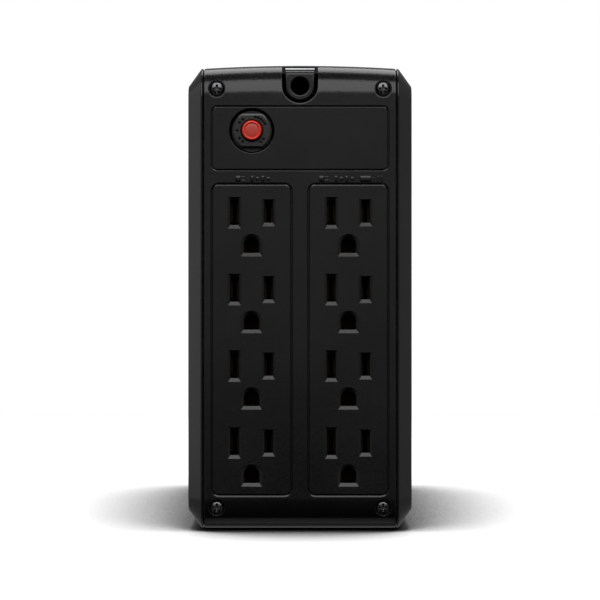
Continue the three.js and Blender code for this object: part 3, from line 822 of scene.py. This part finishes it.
def panel_screw(number, x, z):
    """A domed screw head with a cross recess, low in its hole, on its shank."""
    front = REAR + 1.3
    profile = [
        (0.05, front), (0.9, front + 0.04), (1.7, front + 0.18), (2.3, front + 0.42), (2.65, front + 0.72),
        (2.75, front + 1.0), (2.7, front + 1.15), (1.4, front + 1.2), (1.4, REAR_RIM + 9),
    ]
    obj = turned(f"panel_screw_{number}_head", x, z, profile, 40)
    levels = [(front - 0.2, 1.75, 0.46), (front + 0.25, 1.5, 0.4), (front + 0.8, 0.7, 0.25)]
    rings = [at_y(cross_outline(x, z, reach, half), y) for y, reach, half in levels]
    cut(obj, outward(new_object("cross", *loft(rings))))
    smooth(obj)
    return finish_piece(obj, SCREW, "black_screw", "case", f"panel_screw_{number}")


def breaker_collar():
    """The double-D collar: a narrow soft edge, and generic pips pressed into its face."""
    face, back = REAR + 0.15, REAR + 3.2

    def outline(grow):
        return double_d(BREAKER_X, BREAKER_Z, COLLAR_R + grow, COLLAR_HALF + grow)

    levels = [(face, -0.68), (face + 0.3, -0.1), (face + 0.36, -0.03), (face + 0.5, 0)]
    obj = stacked("breaker_collar", outline, levels + [(back, 0)])
    tools = [
        cutter("bore", lambda g: circle(BREAKER_X, BREAKER_Z, COLLAR_BORE + g, 48), 5, 0.25, face, floor=0)
    ]
    for angle in PIP_ANGLES:
        x = BREAKER_X + 5.5 * math.cos(math.radians(angle))
        z = BREAKER_Z + 5.2 * math.sin(math.radians(angle))
        tools.append(
            cutter("pip", lambda g, x=x, z=z: circle(x, z, PIP_R + g, 14), 1.6, 0.05, face, floor=0.4)
        )
    cut(obj, join(tools, "tools"))
    smooth(obj, 15)
    return finish_piece(obj, COLLAR, "breaker_black", "case", "breaker_bezel")


def breaker_gasket_painted_shade():
    """A dull foam washer behind the panel, which closes the gap round the collar; its near-black colour is
    painted shade that keeps the gap dark.
    """
    y = REAR + WALL + 0.4
    profile = [
        (7.7, y + 0.4), (7.8, y + 0.1), (8.2, y), (9.9, y), (10.1, y + 0.1), (10.1, y + 0.9), (7.7, y + 0.9),
    ]
    rings = [at_y(circle(BREAKER_X, BREAKER_Z, r, 64), at) for r, at in profile]
    obj = outward(new_object("breaker_gasket_painted_shade", *loft(rings, close=True)))
    smooth(obj)
    return finish_piece(obj, GASKET_PAINTED_SHADE, "rubber", "case")


def breaker_button():
    """The red reset button: a rounded rim round a slightly lower, nearly flat disc; the rim's faces take a
    brighter red, which is a painted highlight.
    """
    face = BREAKER_LOW[1]
    rim_r = 2.66
    profile = [
        (0.05, 0.26), (1.3, 0.28), (2.1, 0.33), (2.45, 0.42), (2.6, 0.46), (2.72, 0.36), (2.84, 0.14),
        (2.98, 0.02), (3.1, 0.0), (3.26, 0.04), (3.42, 0.15), (3.54, 0.34), (3.6, 0.6),
        (3.6, BREAKER_HIGH[1] - face),
    ]
    obj = turned("reset_button", BREAKER_X, BREAKER_Z, [(r, face + d) for r, d in profile], 64)
    smooth(obj, 40)
    finish_piece(obj, RED, "reset_red", "breaker_button", "breaker_button")
    # Faces beyond rim_r take the brighter red of the painted highlight.
    obj.data.materials.append(RED_RIM_PAINTED_HIGHLIGHT)
    for polygon in obj.data.polygons:
        x, z = polygon.center.x / MM - BREAKER_X, polygon.center.z / MM - BREAKER_Z
        polygon.material_index = int(math.hypot(x, z) > rim_r)


def bank_marks():
    """Raised generic marks above the banks: a plug and dashes, and a plug, dashes and a cell."""
    marks = []

    def bar(x, z, half_x, half_z):
        narrow = min(half_x, half_z)
        edge = min(0.62, 0.7 * narrow)
        levels = [(REAR - 0.5 * edge, -edge), (REAR, 0), (REAR + 0.3, 0)]
        marks.append(stacked(
            "bar", lambda g: slot_outline(x, z, half_x + g, half_z + g, 0.6 * (narrow + g)), levels
        ))

    def plug(x, z):
        bar(x, z, MARK_HALF, MARK_HALF)
        bar(x + 1.9, z + 0.6, 0.8, 0.33)
        bar(x + 1.9, z - 0.6, 0.8, 0.33)

    plug(-BANK_X - 5, MARK_Z)
    plug(BANK_X - 10, MARK_Z)
    for i in range(4):
        bar(-BANK_X + 0.2 + 2 * i, MARK_Z, 0.72, MARK_HALF - 0.4 * (i % 2))
        bar(BANK_X - 4.6 + 2 * i, MARK_Z, 0.72, MARK_HALF - 0.4 * (i % 2))
    bar(BANK_X + 6.4, MARK_Z, 2.3, MARK_HALF)
    bar(BANK_X + 9.2, MARK_Z, 0.36, 0.5)
    for i in range(2):
        bar(BANK_X + 10.9 + 1.4 * i, MARK_Z, 0.42, MARK_HALF)
    obj = join(marks, "bank_marks")
    smooth(obj, 15)
    return finish_piece(obj, SHELL, "shell", "case")


cord_gland()
gland_retainer()
breaker_collar()
breaker_gasket_painted_shade()
breaker_button()
bank_marks()
for number, (x, z) in enumerate([(x, z) for z in SCREW_Z for x in (-SCREW_X, SCREW_X)], 1):
    panel_screw(number, x, z)


# ---------- display side: window, glyphs and buttons ----------

def display_window():
    """The smoked lens, with generic level bars and three seven-segment figures on its face."""
    (x0, y0, z0), (x1, y1, z1) = WINDOW_LOW, WINDOW_HIGH
    levels = [(y0, 0), (y1 - 0.35, 0), (y1 - 0.16, -0.06), (y1 - 0.05, -0.18), (y1, -0.4)]
    obj = stacked("display_lens", lambda g: round_rect(x0 - g, x1 + g, z0 - g, z1 + g, 2.7 + g, 8), levels)
    smooth(obj)
    finish_piece(obj, SMOKED, "display_clear", "case", "display_window")

    glyphs = []

    def mark(x, z, half_x, half_z, r=0.3):
        levels = [(y1 - 0.1, 0), (y1 + 0.03, 0), (y1 + 0.05, -0.03)]
        glyphs.append(stacked("glyph", lambda g: slot_outline(x, z, half_x + g, half_z + g, r), levels))

    middle_z = (z0 + z1) / 2
    for i in range(5):
        mark(-15.5, middle_z - 10 + 5 * i, 2.6, 1.6)
        mark(15.5, middle_z - 10 + 5 * i, 2.6, 1.6)
    for x in (-5.5, 0, 5.5):
        for rise in (6, 0, -6):
            mark(x, middle_z + rise, 1.7, 0.35, 0.2)
        for side in (-1, 1):
            for rise in (3, -3):
                mark(x + side * 2.1, middle_z + rise, 0.32, 2.3, 0.2)
    obj = join(glyphs, "display_glyphs")
    smooth(obj)
    finish_piece(obj, GLYPH, "display_clear", "case")


def push_button(name, piece, z, r):
    """A dished round cap with a soft rim, standing on its flange and stem."""
    low, high = mm_box(name)
    face, back = high[1], low[1]
    profile = [
        (0.05, 0.55), (r * 0.4, 0.5), (r * 0.7, 0.3), (r - 0.95, 0.05), (r - 0.7, 0), (r - 0.4, 0.05),
        (r - 0.14, 0.22), (r, 0.5), (r, 3.6), (r + 0.9, 3.6), (r + 0.9, 4.6), (1.5, 4.6), (1.5, face - back),
    ]
    obj = turned(piece, 0, z, [(radius, face - d) for radius, d in profile], 64)
    smooth(obj)
    finish_piece(obj, SHELL, "shell", name, name)
    return face


def power_icon(face):
    """The ordinary power symbol: an open ring and a stroke."""
    ring = arc(0, POWER_Z, 2.5, 125, 415, 40) + arc(0, POWER_Z, 2.05, 415, 125, 40)
    stroke = slot_outline(0, POWER_Z + 2.1, 0.24, 1.35, 0.2)
    levels = [(face - 0.7, 0), (face - 0.28, 0)]
    obj = join([stacked("icon", lambda g, part=part: part, levels) for part in (ring, stroke)], "power_icon")
    smooth(obj)
    finish_piece(obj, ICON, "shell", "power_button")


def display_icon(face):
    """Three bars, for the display's pages."""
    levels = [(face - 0.7, 0), (face - 0.34, 0)]
    bars = [slot_outline(0, TOGGLE_Z + 0.9 * i, 1.3, 0.2, 0.15) for i in (-1, 0, 1)]
    obj = join([stacked("icon", lambda g, bar=bar: bar, levels) for bar in bars], "display_icon")
    smooth(obj)
    finish_piece(obj, ICON, "shell", "display_button")


display_window()
power_icon(push_button("power_button", "power_cap", POWER_Z, POWER_R))
display_icon(push_button("display_button", "display_cap", TOGGLE_Z, TOGGLE_R))


# ---------- materials of the CAD nodes ----------

LOOKS = {
    "shell": SHELL, "gland": GLAND, "black_screw": SCREW, "rubber": RUBBER, "breaker_black": COLLAR,
    "reset_red": RED, "brass": BRASS_PAINTED_SHADE, "carrier_nylon": CARRIER, "wire_black": WIRE_BLACK,
    "wire_white": WIRE_WHITE, "wire_green": WIRE_GREEN, "wire_red": WIRE_RED,
    "battery_plastic": BATTERY, "steel": STEEL, "winding": WINDING, "board": BOARD,
    "aluminium": ALUMINIUM, "component_black": COMPONENT, "relay_plastic": RELAY,
    "capacitor_sleeve": SLEEVE, "fuse_glass": CERAMIC, "display_clear": SMOKED,
}
SLOTS = {part["node"]: part["material_slot"] for part in frame["record"]["subparts"]}
LOOK_OF = {"transformer_core": CORE}

for name, obj in frame["nodes"].items():
    look = LOOK_OF.get(name, LOOKS[SLOTS[name]])
    obj.data.materials.clear()
    obj.data.materials.append(look)


# ---------- floor, light and camera ----------

def floor():
    """A plain pale floor, in metres, with a painted contact shadow: its colour is a ramp of the room above
    each point.
    """
    side, near, far = 1.2, -1.4, 0.78
    corners = [(-side, near, 0), (side, near, 0), (side, far, 0), (-side, far, 0)]
    obj = new_object("floor", corners, [(0, 1, 2, 3)], 1.0)
    material, tree, shader = node_material("pale_floor_painted_shadow")
    # Painted contact shadow: the floor's base colour darkens with the ambient occlusion near the object.
    contact = add_node(tree, "ShaderNodeAmbientOcclusion", samples=8, Distance=0.092)
    shade = ramp(tree, contact.outputs["AO"], (0.05, 0.05, 0.05), (0.93, 0.93, 0.93), 0.455, 0.9)
    for position, tone in ((0.56, 0.27), (0.65, 0.53), (0.74, 0.74), (0.82, 0.86)):
        shade.color_ramp.elements.new(position).color = (tone, tone, tone, 1)
    tree.links.new(shade.outputs["Color"], shader.inputs["Base Color"])
    shader.inputs["Roughness"].default_value = 0.9
    shader.inputs["Specular IOR Level"].default_value = 0.0
    obj.data.materials.append(material)
    obj.visible_glossy = False
    obj.visible_diffuse = False


def area_light(name, place, target, size, radiance, glossy=True):
    """A soft box of an even radiance. It lights the scene and isn't seen itself."""
    light = bpy.data.lights.new(name, "AREA")
    light.shape = "RECTANGLE"
    light.size, light.size_y = size
    light.energy = radiance * math.pi * size[0] * size[1]
    obj = bpy.data.objects.new(name, light)
    bpy.context.scene.collection.objects.link(obj)
    obj.location = place
    aim = Vector(target) - Vector(place)
    obj.rotation_euler = aim.to_track_quat("-Z", "Y").to_euler()
    obj.visible_camera = False
    obj.visible_glossy = glossy


def calculate(tree, operation, *values):
    node = add_node(tree, "ShaderNodeMath", operation=operation)
    for socket, value in zip(node.inputs, values):
        if isinstance(value, (int, float)):
            socket.default_value = value
        else:
            tree.links.new(value, socket)
    return node.outputs["Value"]


def world(ahead, around, seen):
    """The surround: dark ahead and overhead, lighter at the sides and behind, with a plain backdrop."""
    surround = bpy.data.worlds.new("studio")
    surround.use_nodes = True
    tree = surround.node_tree
    place = add_node(tree, "ShaderNodeTexCoord")
    split = add_node(tree, "ShaderNodeSeparateXYZ")
    tree.links.new(place.outputs["Generated"], split.inputs["Vector"])
    sideways = calculate(tree, "POWER", split.outputs["X"], 2)
    behind = calculate(tree, "POWER", calculate(tree, "MAXIMUM", split.outputs["Y"], 0), 2)
    share = calculate(tree, "ADD", sideways, behind)
    tone = ramp(tree, share, (ahead,) * 3, (around,) * 3, 0.05, 0.8)
    given = tree.nodes["Background"]
    tree.links.new(tone.outputs["Color"], given.inputs["Color"])
    path = add_node(tree, "ShaderNodeLightPath")
    shown = add_node(tree, "ShaderNodeBackground", Color=(seen, seen, seen, 1))
    mix = add_node(tree, "ShaderNodeMixShader")
    tree.links.new(path.outputs["Is Camera Ray"], mix.inputs["Fac"])
    tree.links.new(given.outputs["Background"], mix.inputs[1])
    tree.links.new(shown.outputs["Background"], mix.inputs[2])
    tree.links.new(mix.outputs["Shader"], tree.nodes["World Output"].inputs["Surface"])
    bpy.context.scene.world = surround


def camera(distance, height, field):
    """Stands on the outlets' side, level with the middle; field is the height seen at the outlet panel."""
    data = bpy.data.cameras.new("camera")
    data.sensor_width = 36
    data.lens = 36 * distance / field
    obj = bpy.data.objects.new("camera", data)
    bpy.context.scene.collection.objects.link(obj)
    obj.location = (0, REAR * MM - distance, height)
    obj.rotation_euler = (math.pi / 2, 0, 0)
    bpy.context.scene.camera = obj


floor()
world(0.003, 0.2, 1.0)
middle = (0, 0, 0.1)
area_light("front_softbox", (0, -1.0, 0.91), middle, (1.5, 1.05), 2.2)
area_light("back_softbox", (0, 0.456, 1.166), (0, -0.1, 0.17), (1.5, 0.72), 2.6)
area_light("left_softbox", (-1.5, 0.3, 0.4), middle, (0.85, 1.05), 0.38)
area_light("right_softbox", (1.5, 0.3, 0.4), middle, (0.85, 1.05), 0.07)
area_light("front_card", (0, -2.2, 0.33), middle, (1.6, 0.75), 0.31)
area_light("display_card", (0, 2.2, 0.3), middle, (1.6, 0.6), 0.3)
area_light("under_card", (0, -0.086, -0.12), (0, -0.086, 0.5), (0.09, 0.07), 0.22)
area_light("floor_fill", (0, -0.2, 1.9), (0, -0.2, 0), (2.6, 2.6), 2.2, glossy=False)
camera(0.92, 0.0863, 0.2228)
bpy.context.scene.view_settings.view_transform = "Standard"
